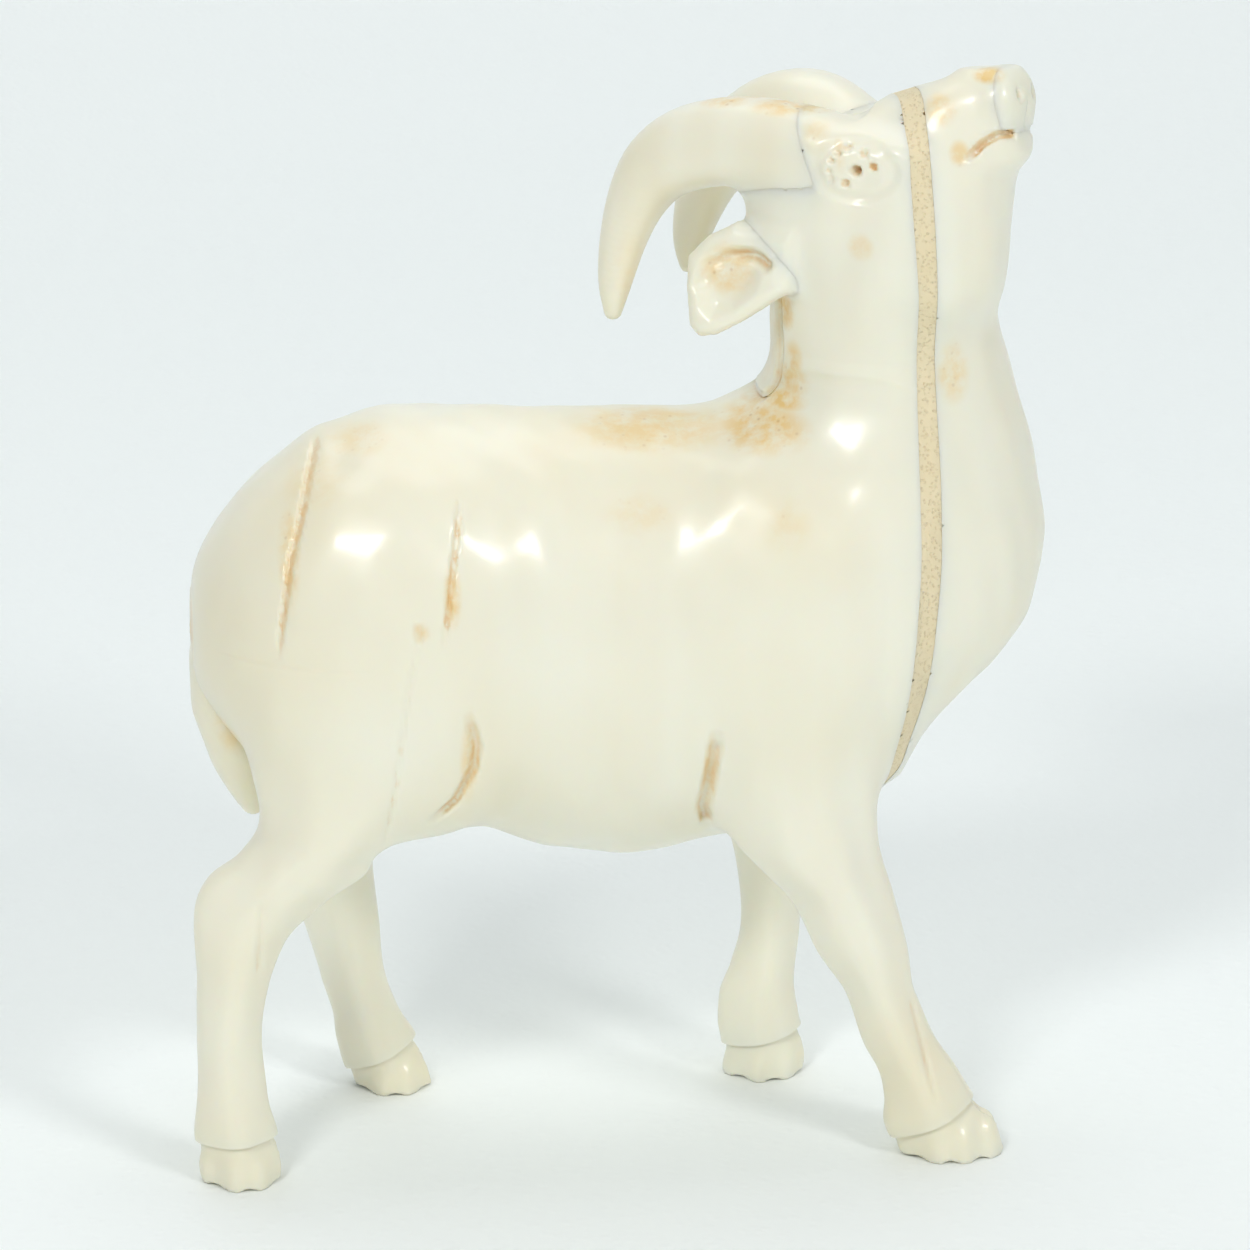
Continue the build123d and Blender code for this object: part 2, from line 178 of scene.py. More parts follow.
# ---------------------------------------------------------------- field helpers
def smooth_rows(rows, count=400):
    """Columns of the rows against their first value, through a monotone cubic."""
    rows = np.array(sorted(rows), float)
    t, values = rows[:, 0], rows[:, 1:]
    h = np.diff(t)[:, None]
    rate = np.diff(values, axis=0) / h
    slope = np.zeros_like(values)
    product = rate[:-1] * rate[1:]
    total = rate[:-1] + rate[1:]
    slope[1:-1] = np.where(product > 0, 2 * product / np.where(total == 0, 1, total), 0)
    slope[0], slope[-1] = rate[0], rate[-1]
    out_t = np.linspace(t[0], t[-1], count)
    i = np.clip(np.searchsorted(t, out_t) - 1, 0, len(t) - 2)
    u = ((out_t - t[i]) / (t[i + 1] - t[i]))[:, None]
    hi = h[i]
    out = ((1 + 2 * u) * (1 - u) ** 2 * values[i] + u * (1 - u) ** 2 * hi * slope[i]
           + u * u * (3 - 2 * u) * values[i + 1] + u * u * (u - 1) * hi * slope[i + 1])
    return out_t, out.T


def along(rows, t):
    """The rows' columns at t, held at the ends."""
    knots, columns = smooth_rows(rows)
    return [np.interp(t, knots, column).astype(np.float32) for column in columns]


def oval(u, v, a, b):
    """Distance to an ellipse of half sizes a, b."""
    k0 = np.sqrt((u / a) ** 2 + (v / b) ** 2)
    k1 = np.sqrt((u / a ** 2) ** 2 + (v / b ** 2) ** 2)
    return k0 * (k0 - 1) / np.maximum(k1, 1e-4)


def join(a, b, k):
    """Smooth union over a blend width k."""
    h = np.maximum(k - np.abs(a - b), 0) / k
    return np.minimum(a, b) - h * h * k * 0.25


def meet(a, b, k):
    """Smooth intersection over a blend width k."""
    return -join(-a, -b, k)


def step(low, high, x):
    """0 at low, 1 at high, with level ends."""
    u = np.clip((x - low) / (high - low), 0, 1)
    return u * u * (3 - 2 * u)


def polygon(u, v, points):
    """Signed distance to a closed outline in a plane."""
    best = np.full(np.broadcast(u, v).shape, 1e9, np.float32)
    inside = np.zeros(best.shape, bool)
    for (x0, y0), (x1, y1) in zip(points, points[1:] + points[:1]):
        ex, ey = x1 - x0, y1 - y0
        wx, wy = u - x0, v - y0
        s = np.clip((wx * ex + wy * ey) / (ex * ex + ey * ey), 0, 1)
        best = np.minimum(best, (wx - ex * s) ** 2 + (wy - ey * s) ** 2)
        crosses = ((y0 > v) != (y1 > v)) & (u < (x1 - x0) * (v - y0) / (y1 - y0 + 1e-9) + x0)
        inside ^= crosses
    return np.where(inside, -1, 1) * np.sqrt(best)


def path_distance(u, v, points):
    """Distance to an open line through points in a plane, and how far along it, 0 to 1."""
    best = np.full(np.broadcast(u, v).shape, 1e9, np.float32)
    place = np.zeros(best.shape, np.float32)
    n = len(points) - 1
    for i, ((x0, y0), (x1, y1)) in enumerate(zip(points, points[1:])):
        ex, ey = x1 - x0, y1 - y0
        wx, wy = u - x0, v - y0
        s = np.clip((wx * ex + wy * ey) / (ex * ex + ey * ey), 0, 1)
        d = (wx - ex * s) ** 2 + (wy - ey * s) ** 2
        closer = d < best
        best = np.where(closer, d, best)
        place = np.where(closer, (i + s) / n, place)
    return np.sqrt(best), place


class Grid:
    """A block of space in the frame, in mm, and fields over it."""

    def __init__(self):
        low, high = [np.array(corner) / MM for corner in CAD_BOUNDS]
        self.low = low - MARGIN
        self.axes = [np.arange(a, b, VOXEL, dtype=np.float32)
                     for a, b in zip(self.low, high + MARGIN)]
        self.shape = tuple(len(a) for a in self.axes)

    def window(self, low, high):
        """Slices and coordinates, in the ram's own drawing axes, of a box given in them."""
        offset = (SHIFT_X, MID_Y, 0.0)
        cut, coordinates = [], []
        for i in range(3):
            first = int(np.searchsorted(self.axes[i], low[i] + offset[i]))
            last = int(np.searchsorted(self.axes[i], high[i] + offset[i]))
            cut.append(slice(first, max(last, first + 1)))
            view = [1, 1, 1]
            view[i] = -1
            coordinates.append((self.axes[i][cut[i]] - offset[i]).reshape(view))
        return tuple(cut), coordinates


grid = Grid()
EVERYWHERE = ((-60, -40, -10), (60, 40, 120))


def in_head(x, y, z):
    """Head coordinates (forward, side, height) of points in the drawing axes."""
    dx, dy, dz = x - HEAD_PIVOT[0], y - HEAD_PIVOT[1], z - HEAD_PIVOT[2]
    forward = dx * COS_YAW + dy * SIN_YAW
    level = -dx * SIN_YAW + dy * COS_YAW
    return forward, level * COS_ROLL + dz * SIN_ROLL, -level * SIN_ROLL + dz * COS_ROLL


def from_head(forward, side, height):
    """The place in the drawing axes, in mm, of a point in the head's axes."""
    level = side * COS_ROLL - height * SIN_ROLL
    up = side * SIN_ROLL + height * COS_ROLL
    return (HEAD_PIVOT[0] + forward * COS_YAW - level * SIN_YAW,
            HEAD_PIVOT[1] + forward * SIN_YAW + level * COS_YAW,
            HEAD_PIVOT[2] + up)


# ---------------------------------------------------------------- the ram's body
def torso_field(x, y, z):
    """Barrel and rump."""
    zc, w, h = along(TORSO, x)
    d = oval(y, z - zc, w, h)
    return np.maximum(d, np.maximum(-37.4 - x, x - 22.5))


def neck_field(x, y, z):
    """Neck and breast."""
    xc, a, b = along(NECK, z)
    d = oval(x - xc, y, a, b)
    return np.maximum(d, np.maximum(NECK[0][0] - z, z - NECK[-1][0]))


def ball(x, y, z, centre, sizes):
    """Distance to an ellipsoid."""
    u, v, w = x - centre[0], y - centre[1], z - centre[2]
    k0 = np.sqrt((u / sizes[0]) ** 2 + (v / sizes[1]) ** 2 + (w / sizes[2]) ** 2)
    k1 = np.sqrt((u / sizes[0] ** 2) ** 2 + (v / sizes[1] ** 2) ** 2 + (w / sizes[2] ** 2) ** 2)
    return k0 * (k0 - 1) / np.maximum(k1, 1e-4)


def leg_field(name, x, y, z):
    """One leg, from inside the trunk to the sole."""
    side, rows = LEGS[name]
    xc, yc, a, b = along(rows, z)
    d = oval(x - xc, y - side * yc, a, b)
    # flat bevels down the corners of the limb
    bevel = (0.755 * (np.abs(x - xc) / a + np.abs(y - side * yc) / b) - 1) * np.minimum(a, b) * 0.9
    d = meet(d, bevel, 0.5)
    return np.maximum(d, np.maximum(-z, z - rows[-1][0]))


def head_field(x, y, z):
    """Skull, muzzle, chin, crown and brows."""
    a, b, c = in_head(x, y, z)
    centre, half_length, half_width = along(HEAD, c)
    skull = oval(a - centre, b, half_length, half_width)
    skull = np.maximum(skull, np.maximum(HEAD[0][0] - c, c - HEAD[-1][0]))
    height, wide, deep = along(MUZZLE, a)
    boxy = ((np.abs(b) / wide) ** 3 + (np.abs(c - height) / deep) ** 3) ** (1 / 3)
    muzzle = (boxy - 1) * np.minimum(wide, deep)
    muzzle = np.maximum(meet(muzzle, a - 13.8, 2.4), MUZZLE[0][0] - a)
    d = join(skull, muzzle, 3.0)
    chin = ball(a, b, c, (11.7, 0.0, 4.2), (2.7, 2.9, 1.6))
    d = join(d, chin, 1.2)
    # the swell behind the cheek that carries horn and ear
    base = ball(a, np.abs(b), c, (-3.0, 5.6, -1.8), (5.8, 3.7, 5.4))
    d = join(d, base, 3.0)
    crown = ball(a, np.abs(b), c, (-0.6, 4.4, 3.1), (4.6, 3.4, 2.5))
    d = join(d, crown, 1.6)
    brow = ball(a, np.abs(b), c, (3.2, 6.8, 3.6), (4.4, 1.9, 1.3))
    d = join(d, brow, 1.8)
    nose = ball(a, b, c, (12.0, 0.0, 8.4), (2.0, 3.3, 2.4))
    return join(d, nose, 1.2)


def build_fields():
    """The whole ram without its horns, ears and tail, and its legs alone."""
    skin = np.full(grid.shape, EMPTY, np.float32)
    cut, (x, y, z) = grid.window((-42, -20, 18), (34, 20, 76))
    skin[cut] = torso_field(x, y, z)
    cut, (x, y, z) = grid.window((-4, -20, 24), (44, 20, 92))
    skin[cut] = join(skin[cut], neck_field(x, y, z), 6.0)
    cut, (x, y, z) = grid.window((4, -20, 66), (44, 16, 106))
    skin[cut] = join(skin[cut], head_field(x, y, z), 3.0)
    for side in (-1, 1):
        # haunch and shoulder
        cut, (x, y, z) = grid.window((-42, -20, 20), (0, 20, 70))
        haunch = ball(x, y, z, (-19.4, side * 7.6, 46.5), (12.4, 7.6, 16.0))
        skin[cut] = join(skin[cut], haunch, 4.0)
        cut, (x, y, z) = grid.window((0, -20, 20), (36, 20, 74))
        shoulder = ball(x, y, z, (13.5, side * 6.9, 49.5), (11.0, 7.5, 14.0))
        skin[cut] = join(skin[cut], shoulder, 4.0)
    legs = np.full(grid.shape, EMPTY, np.float32)
    for name, (side, rows) in LEGS.items():
        reach_x = [row[1] for row in rows]
        low = (min(reach_x) - 14, -20, -2)
        high = (max(reach_x) + 14, 20, 48)
        cut, (x, y, z) = grid.window(low, high)
        leg = leg_field(name, x, y, z)
        legs[cut] = np.minimum(legs[cut], leg)
        skin[cut] = join(skin[cut], leg, 3.2)
    # the unevenness a knife leaves: slow swells, a tenth of a millimetre high
    _, (x, y, z) = grid.window(*EVERYWHERE)
    swell = (np.sin(0.71 * x + 0.9 * np.sin(0.33 * z))
             * np.sin(0.53 * y + 1.1) * np.sin(0.47 * z + 0.6)
             + 0.6 * np.sin(1.13 * x + 0.31 * y) * np.sin(0.37 * z + 0.8 * y + 2.0))
    skin += (0.11 * swell).astype(np.float32)
    cut, (x, y, z) = grid.window((-60, -40, -10), (60, 40, 2))
    skin[cut] = np.maximum(skin[cut], -z)
    return skin, legs


# carved lines on the animal's right flank: (points as (x, z), half width, depth)
FLANK_CUTS = [
    ([(-25.4, 66.6), (-27.0, 62.6), (-28.9, 56.9), (-29.7, 52.4), (-30.2, 48.9)], 0.32, 0.4),
    ([(-14.4, 61.4), (-15.1, 57.4), (-15.5, 54.7), (-16.2, 50.3)], 0.32, 0.4),
    ([(-18.4, 52.3), (-18.3, 50.3)], 0.3, 0.25),
    ([(-18.5, 50.0), (-19.6, 44.6), (-20.3, 37.4), (-21.3, 31.0)], 0.25, 0.16),
    ([(-14.0, 43.4), (-13.4, 40.6), (-13.6, 38.4), (-15.1, 35.2), (-17.0, 33.2)], 0.55, 0.7),
    ([(7.4, 40.6), (7.1, 37.1), (6.6, 33.0), (7.2, 31.0)], 0.7, 0.8),
    ([(-32.0, 27.0), (-32.4, 19.7)], 0.35, 0.2),
    ([(24.8, 15.5), (27.0, 6.0)], 0.35, 0.2),
]


def carve_flank(field):
    """Cracks, folds and facet lines, cut a little way into the right flank."""
    for points, half, depth in FLANK_CUTS:
        xs = [p[0] for p in points]
        zs = [p[1] for p in points]
        low = (min(xs) - 2, -20, min(zs) - 2)
        high = (max(xs) + 2, 0, max(zs) + 2)
        cut, (x, y, z) = grid.window(low, high)
        d, place = path_distance(x, z, points)
        fade = step(0, 0.18, place) * step(0, 0.18, 1 - place) + 0.25
        profile = np.clip(1 - d / half, 0, 1)
        dent = depth * np.minimum(fade, 1) * profile * (2 - profile)
        field[cut] = field[cut] + dent * step(0, 3, -y)


def carve_face(field):
    """Eyes, mouth and nostril creases, the same on both sides."""
    cut, (x, y, z) = grid.window((4, -20, 66), (44, 16, 106))
    a, b, c = in_head(x, y, z)
    out = np.abs(b)
    delta = np.zeros(field[cut].shape, np.float32)
    u, v = a - EYE[0], c - EYE[1]
    # a shallow almond round the eye
    almond = oval(u, v, 3.2, 2.3)
    delta += 0.22 * step(-0.8, 0.0, almond) * step(0.9, 0.0, almond) * (out > 3)
    pits = [(0.0, 0.0, 0.46, 0.9), (0.62, 1.45, 0.36, 0.45), (1.45, 0.45, 0.36, 0.45),
            (-0.75, -1.15, 0.36, 0.45)]
    for i in range(5):
        angle = math.radians(112 + 24 * i)
        pits.append((2.15 * math.cos(angle), 1.95 * math.sin(angle), 0.26, 0.34))
    for pu, pv, radius, depth in pits:
        d = np.sqrt((u - pu) ** 2 + (v - pv) ** 2)
        delta += depth * step(radius * 1.15, radius * 0.45, d) * (out > 3)
    # mouth: level round the front, then down along the side
    mouth = [(15.0, MOUTH_HEIGHT), (13.0, 5.8), (12.0, 5.0), (10.9, 3.3)]
    d, place = path_distance(a, c, mouth)
    delta += 0.75 * step(0.5, 0.0, d) * step(1.02, 0.8, place) * (out > 1.5)
    # upper lip's front dip and the nostrils
    d = np.sqrt((out - 1.35) ** 2 + (c - 9.2) ** 2)
    delta += 0.4 * step(0.7, 0.1, d) * (a > 12.6)
    d, _ = path_distance(out, c, [(0.0, 6.4), (0.0, 8.4)])
    delta += 0.2 * step(0.35, 0.0, d) * (a > 12.6)
    field[cut] = field[cut] + delta


def horn_field(side, a, b, c):
    """One horn, slightly squared in section, along its smoothed centre-line."""
    line = np.array(HORN_LEFT if side > 0 else HORN_RIGHT, float)
    t = np.arange(len(line), dtype=float)
    dense = np.linspace(0, t[-1], 44)
    knots = [np.interp(dense, t, line[:, k]) for k in range(3)]
    for _ in range(6):
        knots = [np.concatenate([k[:1], (k[:-2] + 2 * k[1:-1] + k[2:]) / 4, k[-1:]]) for k in knots]
    best = np.full(np.broadcast(a, b, c).shape, 1e9, np.float32)
    spread = np.abs(b - side * HORN_SIDE) * 1.06
    for i in range(len(dense) - 1):
        a0, c0, r0 = (k[i] for k in knots)
        a1, c1, r1 = (k[i + 1] for k in knots)
        ea, ec = a1 - a0, c1 - c0
        s = np.clip(((a - a0) * ea + (c - c0) * ec) / (ea * ea + ec * ec), 0, 1)
        r = r0 + (r1 - r0) * s
        across = np.sqrt((a - a0 - ea * s) ** 2 + (c - c0 - ec * s) ** 2)
        d = (across ** 2.5 + spread ** 2.5 + 1e-6) ** 0.4 - r
        best = np.minimum(best, d)
    return best


def ear_field(side, a, b, c):
    """One ear: a leaf that leans out from the skull, hollowed on its outer face."""
    outline = polygon(a, c, EAR_OUTLINE)
    reach = np.sqrt((a + 4.0) ** 2 + (c + 6.0) ** 2)
    middle = 7.4 + 0.40 * reach - 0.014 * reach ** 2
    out = b * side - middle
    thick = 0.95 + 0.75 * step(7, 0, reach)
    leaf = meet(outline, np.abs(out) - thick, 1.5)
    # the cup, with its deepest slit under the rolled upper rim
    cup = polygon(a, c, [(-5.0, -5.5), (-7.6, -5.4), (-9.8, -6.6), (-11.2, -8.6), (-10.8, -11.2),
                         (-9.4, -12.4), (-7.2, -11.4), (-5.4, -9.4), (-4.8, -7.4)])
    slit, place = path_distance(a, c, [(-11.0, -9.2), (-10.0, -7.4), (-8.2, -6.4), (-6.4, -6.1),
                                       (-5.0, -6.9)])
    depth = 0.8 * step(0.2, -1.6, cup) + 1.3 * step(0.85, 0.0, slit) * (0.25 + 0.75 * place)
    return np.maximum(leaf, out - (thick - depth) - 0.02)


def tail_field(x, y, z):
    """The tail, a leaf with an oval section."""
    xc, thick, wide = along([(row[1], row[0], row[2], row[3]) for row in TAIL], z)
    d = oval(x - xc, y, thick, wide)
    return np.maximum(d, np.maximum(TAIL[-1][1] - z, z - TAIL[0][1]))


# ---------------------------------------------------------------- meshing
def sample(field, points):
    """The field between its grid points, at points in grid steps."""
    first = np.clip(np.floor(points).astype(np.int64), 0, np.array(field.shape) - 2)
    u = (points - first).astype(np.float32)
    i, j, k = first.T
    out = 0
    for di in (0, 1):
        wi = u[:, 0] if di else 1 - u[:, 0]
        for dj in (0, 1):
            wj = wi * (u[:, 1] if dj else 1 - u[:, 1])
            for dk in (0, 1):
                out = out + field[i + di, j + dj, k + dk] * wj * (u[:, 2] if dk else 1 - u[:, 2])
    return out


def slope(field, points, reach=0.5):
    """The field's gradient per grid step at points in grid steps."""
    out = np.empty(points.shape)
    for axis in range(3):
        away = np.zeros(3)
        away[axis] = reach
        out[:, axis] = (sample(field, points + away) - sample(field, points - away)) / (2 * reach)
    return out


def largest_part(quads, count):
    """The faces of the largest connected part."""
    label = np.arange(count)
    while True:
        lowest = label[quads].min(axis=1)
        new = label.copy()
        for k in range(4):
            np.minimum.at(new, quads[:, k], lowest)
        new = new[new]
        if np.array_equal(new, label):
            break
        label = new
    roots, counts = np.unique(label[quads[:, 0]], return_counts=True)
    return quads[label[quads[:, 0]] == roots[np.argmax(counts)]]


def piece_from(name, outer, region, cut):
    """A closed mesh of the inside of both fields, with a sharp edge where they meet, in metres."""
    pad = VOXEL * 3
    outer, region = (np.pad(np.clip(field, -FIELD_LIMIT, FIELD_LIMIT), 1,
                            constant_values=FIELD_LIMIT) for field in (outer, region))
    volume = openvdb.FloatGrid(background=pad)
    volume.copyFromArray(np.clip(np.maximum(outer, region), -pad, pad))
    points, quads = volume.convertToQuads(isovalue=0.0)
    quads = largest_part(quads.astype(np.int64), len(points))
    used, quads = np.unique(quads, return_inverse=True)
    quads = quads.reshape(-1, 4)
    points = points[used].astype(np.float64)
    # settle the points: on the skin, on the cut, or on the edge between them
    f, r = sample(outer, points), sample(region, points)
    on_skin = np.abs(f) < SETTLE_REACH
    on_cut = np.abs(r) < SETTLE_REACH
    for _ in range(3):
        f, r = sample(outer, points), sample(region, points)
        gf, gr = slope(outer, points), slope(region, points)
        ff = np.maximum((gf * gf).sum(1), 1e-6)
        rr = np.maximum((gr * gr).sum(1), 1e-6)
        fr = (gf * gr).sum(1)
        det = ff * rr - fr * fr
        both = on_skin & on_cut & (det > 0.08 * ff * rr)
        det = np.where(both, det, 1)
        lf = np.where(both, (f * rr - r * fr) / det, np.where(on_skin & ~on_cut, f / ff, 0))
        lr = np.where(both, (r * ff - f * fr) / det, np.where(on_cut & ~on_skin, r / rr, 0))
        move = -(gf * lf[:, None] + gr * lr[:, None])
        length = np.sqrt((move * move).sum(1))
        points += move * np.minimum(1, 0.4 / np.maximum(length, 1e-6))[:, None]
    normals = slope(outer, points)
    cut_normals = slope(region, points)
    centre = points[quads].mean(axis=1)
    skin_face = sample(outer, centre) >= sample(region, centre)
    corner = np.where(np.repeat(skin_face, 4)[:, None], normals[quads.ravel()],
                      cut_normals[quads.ravel()])
    corner /= np.maximum(np.linalg.norm(corner, axis=1), 1e-6)[:, None]
    # hollows, for the painted shade in them: how little the field grows a short way out along the
    # normal
    steep = np.maximum(np.linalg.norm(normals, axis=1), 1e-6)
    unit = normals / steep[:, None]
    growth = sample(outer, points + unit * HOLLOW_REACH / VOXEL) * VOXEL / (HOLLOW_REACH * steep)
    hollow_shade = np.clip(1 - growth, 0, 1)
    origin = np.array([grid.axes[i][cut[i].start] for i in range(3)]) - VOXEL
    mesh = bpy.data.meshes.new(name)
    # turn the faces round if they wind against the normals
    one, two = points[quads[:, 2]] - points[quads[:, 0]], points[quads[:, 3]] - points[quads[:, 1]]
    if (np.cross(one, two) * corner.reshape(-1, 4, 3).mean(axis=1)).sum() < 0:
        quads, corner = quads[:, ::-1], corner.reshape(-1, 4, 3)[:, ::-1].reshape(-1, 3)
    mesh.from_pydata(((points * VOXEL + origin) * MM).tolist(), [], quads.tolist())
    mesh.update()
    mesh.polygons.foreach_set("use_smooth", [True] * len(mesh.polygons))
    mesh.normals_split_custom_set(corner.tolist())
    attribute = mesh.attributes.new("hollow_shade", "FLOAT", "POINT")
    attribute.data.foreach_set("value", hollow_shade.astype(np.float32))
    piece = bpy.data.objects.new(name, mesh)
    bpy.context.scene.collection.objects.link(piece)
    print("piece", name, len(quads))
    return piece


def build_pieces():
    """Every piece, cut from the skin in turn. The body is what the others leave."""
    skin, legs = build_fields()
    carve_flank(skin)
    taken = np.full(grid.shape, EMPTY, np.float32)
    made = {}

    def cut_out(node, title, cut, region, change=None):
        """One piece: the skin inside the region, which the body then leaves free."""
        outer = skin[cut] if change is None else skin[cut] + change
        free = SEAM - taken[cut]
        made[node] = piece_from(title, outer, np.maximum(region + SEAM, free), cut)
        taken[cut] = np.minimum(taken[cut], region)

    # horns and ears run smoothly out of the skull
    head_cut, (x, y, z) = grid.window((-6, -20, 66), (44, 20, 106))
    a, b, c = in_head(x, y, z)
    horns, ears = {}, {}
    for side, word in ((-1, "right"), (1, "left")):
        horns[word] = horn_field(side, a, b, c)
        ears[word] = ear_field(side, a, b, c)
        skin[head_cut] = join(skin[head_cut], horns[word], 2.4)
        skin[head_cut] = join(skin[head_cut], ears[word], 2.0)
    carve_face(skin)
    for side, word in ((-1, "right"), (1, "left")):
        region = np.maximum(a + 1.8 + 0.45 * (c - 3.0), horns[word] - 0.55)
        cut_out("horn_" + word, "ram_horn_" + word, head_cut, region)
        past_root = 0.9 - (-0.58 * (a + 4.4) + 0.44 * (b * side - 7.4) - 0.69 * (c + 5.6))
        region = np.maximum(past_root, ears[word] - 0.5)
        cut_out("ear_" + word, "ram_ear_" + word, head_cut, region)

    # hooves: cuffed by the shank above, flared and cloven below
    for name, (leg, cx, cz, rise) in HOOVES.items():
        side, rows = LEGS[leg]
        cut, (x, y, z) = grid.window((cx - 9, side * 10.5 - 6, -2), (cx + 10, side * 10.5 + 6, 9))
        tilt = math.radians(rise)
        over = (z - cz) * math.cos(tilt) - (x - cx) * math.sin(tilt)
        cuff = -0.08 * step(2.4, 0.2, over)
        skin[cut] = np.maximum(skin[cut] + cuff, -z)
        toe = step(-1.5, 2.5, x - rows[0][1])
        cleft = 1.0 * step(0.75, 0.0, np.abs(y - side * 10.5)) * toe
        flare = 0.45 - 0.42 * step(-0.2, -cz + 0.6, over)
        scallop = 0.16 * np.sin(2.3 * (x - cx)) * step(-0.8, -2.4, over)
        region = over + 0 * y
        outer = np.maximum(skin[cut] + flare + (cleft + scallop) * step(0.0, -1.2, over), -z)
        made[name] = piece_from("ram_" + name, outer, region + SEAM, cut)
        taken[cut] = np.minimum(taken[cut], region)

    # tail: a leaf that lies against the rump in its own groove
    cut, (x, y, z) = grid.window((-42, -8, 26), (-26, 8, 50))
    tail = tail_field(x, y, z)
    made["tail"] = piece_from("ram_tail", tail, np.full(tail.shape, -EMPTY, np.float32), cut)
    taken[cut] = np.minimum(taken[cut], tail - SEAM)
    skin[cut] = skin[cut] + 0.45 * step(0.8, 0.0, tail)

    # nape ridge, a little proud, with a crevice round it
    cut, (x, y, z) = grid.window((4, -6, 62), (20, 6, 84))
    region = np.maximum(polygon(x, z, NAPE), np.abs(y) - NAPE_HALF_WIDTH)
    crevice = 0.45 * step(0.55, 0.0, np.abs(region))
    cut_out("nape_ridge", "ram_nape", cut, region, -0.2 + crevice)
    skin[cut] = skin[cut] + crevice

    # nose pad
    cut, (x, y, z) = grid.window((20, -20, 76), (44, 8, 106))
    a, b, c = in_head(x, y, z)
    region = np.maximum(NOSE_FROM + 0.235 * (10.8 - c) - a, MOUTH_HEIGHT - c)
    cut_out("nose_pad", "ram_nose", cut, region)

    # tan layer and throat, clear of the legs
    cut, (x, y, z) = grid.window((10, -20, 24), (44, 20, 106))
    middle, half = along(BAND, z)
    across = x - middle
    off_leg = 0.4 - legs[cut]
    band = np.maximum(np.maximum(np.abs(across) - half, off_leg), 28.0 - z)
    throat = np.maximum(np.maximum(half - across, off_leg), 28.0 - z)
    free = SEAM - taken[cut]
    made["neck_band"] = piece_from("ram_neck_band", skin[cut] + 0.05,
                                   np.maximum(band + SEAM, free), cut)
    made["throat_block"] = piece_from("ram_throat", skin[cut], np.maximum(throat + SEAM, free), cut)
    taken[cut] = np.minimum(taken[cut], np.minimum(band, throat))

    cut, _ = grid.window(*EVERYWHERE)
    made["body_block"] = piece_from("ram_body", skin, SEAM - taken, cut)
    return made


# ---------------------------------------------------------------- materials
class Nodes:
    """Short calls for building one node material."""

    def __init__(self, name):
        self.material = bpy.data.materials.new(name)
        self.material.use_nodes = True
        self.tree = self.material.node_tree
        self.tree.nodes.clear()
        self.output = self.tree.nodes.new("ShaderNodeOutputMaterial")
        self.shader = self.tree.nodes.new("ShaderNodeBsdfPrincipled")
        self.tree.links.new(self.shader.outputs[0], self.output.inputs[0])
        self.place = self.tree.nodes.new("ShaderNodeTexCoord").outputs["Object"]

    def link(self, a, b):
        self.tree.links.new(a, b)

    def noise(self, scale, detail, rough, stretch=None):
        node = self.tree.nodes.new("ShaderNodeTexNoise")
        node.inputs["Scale"].default_value = scale
        node.inputs["Detail"].default_value = detail
        node.inputs["Roughness"].default_value = rough
        source = self.place
        if stretch:
            mapping = self.tree.nodes.new("ShaderNodeMapping")
            mapping.inputs["Scale"].default_value = stretch
            self.link(source, mapping.inputs[0])
            source = mapping.outputs[0]
        self.link(source, node.inputs["Vector"])
        return node.outputs["Fac"]

    def cells(self, scale):
        node = self.tree.nodes.new("ShaderNodeTexVoronoi")
        node.inputs["Scale"].default_value = scale
        self.link(self.place, node.inputs["Vector"])
        return node.outputs["Distance"]

    def ramp(self, value, stops):
        node = self.tree.nodes.new("ShaderNodeValToRGB")
        while len(node.color_ramp.elements) < len(stops):
            node.color_ramp.elements.new(0.5)
        for element, (at, colour) in zip(node.color_ramp.elements, stops):
            element.position = at
            element.color = (*colour, 1)
        self.link(value, node.inputs[0])
        return node.outputs[0]

    def math(self, operation, a, b=None, clamp=False):
        node = self.tree.nodes.new("ShaderNodeMath")
        node.operation = operation
        node.use_clamp = clamp
        for socket, value in zip(node.inputs, (a, b)):
            if value is None:
                continue
            if isinstance(value, (int, float)):
                socket.default_value = value
            else:
                self.link(value, socket)
        return node.outputs[0]

    def mix(self, factor, a, b):
        node = self.tree.nodes.new("ShaderNodeMix")
        node.data_type = "RGBA"
        for socket, value in ((node.inputs[0], factor), (node.inputs[6], a), (node.inputs[7], b)):
            if isinstance(value, (int, float)):
                socket.default_value = value
            elif isinstance(value, tuple):
                socket.default_value = (*value, 1)
            else:
                self.link(value, socket)
        return node.outputs[2]

    def spot(self, centre, sizes):
        """1 at a point of the frame, in mm, falling to 0 at an ellipsoid of half sizes."""
        mapping = self.tree.nodes.new("ShaderNodeMapping")
        mapping.vector_type = "POINT"
        mapping.inputs["Scale"].default_value = tuple(1 / (s * MM) for s in sizes)
        mapping.inputs["Location"].default_value = tuple(-c / s for c, s in zip(centre, sizes))
        self.link(self.place, mapping.inputs[0])
        length = self.tree.nodes.new("ShaderNodeVectorMath")
        length.operation = "LENGTH"
        self.link(mapping.outputs[0], length.inputs[0])
        fall = self.tree.nodes.new("ShaderNodeMapRange")
        fall.interpolation_type = "SMOOTHSTEP"
        fall.inputs["From Min"].default_value = 1.0
        fall.inputs["From Max"].default_value = 0.35
        self.link(length.outputs["Value"], fall.inputs["Value"])
        return fall.outputs[0]

    def bump(self, height, strength, distance, normal=None):
        node = self.tree.nodes.new("ShaderNodeBump")
        node.inputs["Strength"].default_value = strength
        node.inputs["Distance"].default_value = distance
        self.link(height, node.inputs["Height"])
        if normal is not None:
            self.link(normal, node.inputs["Normal"])
        return node.outputs[0]


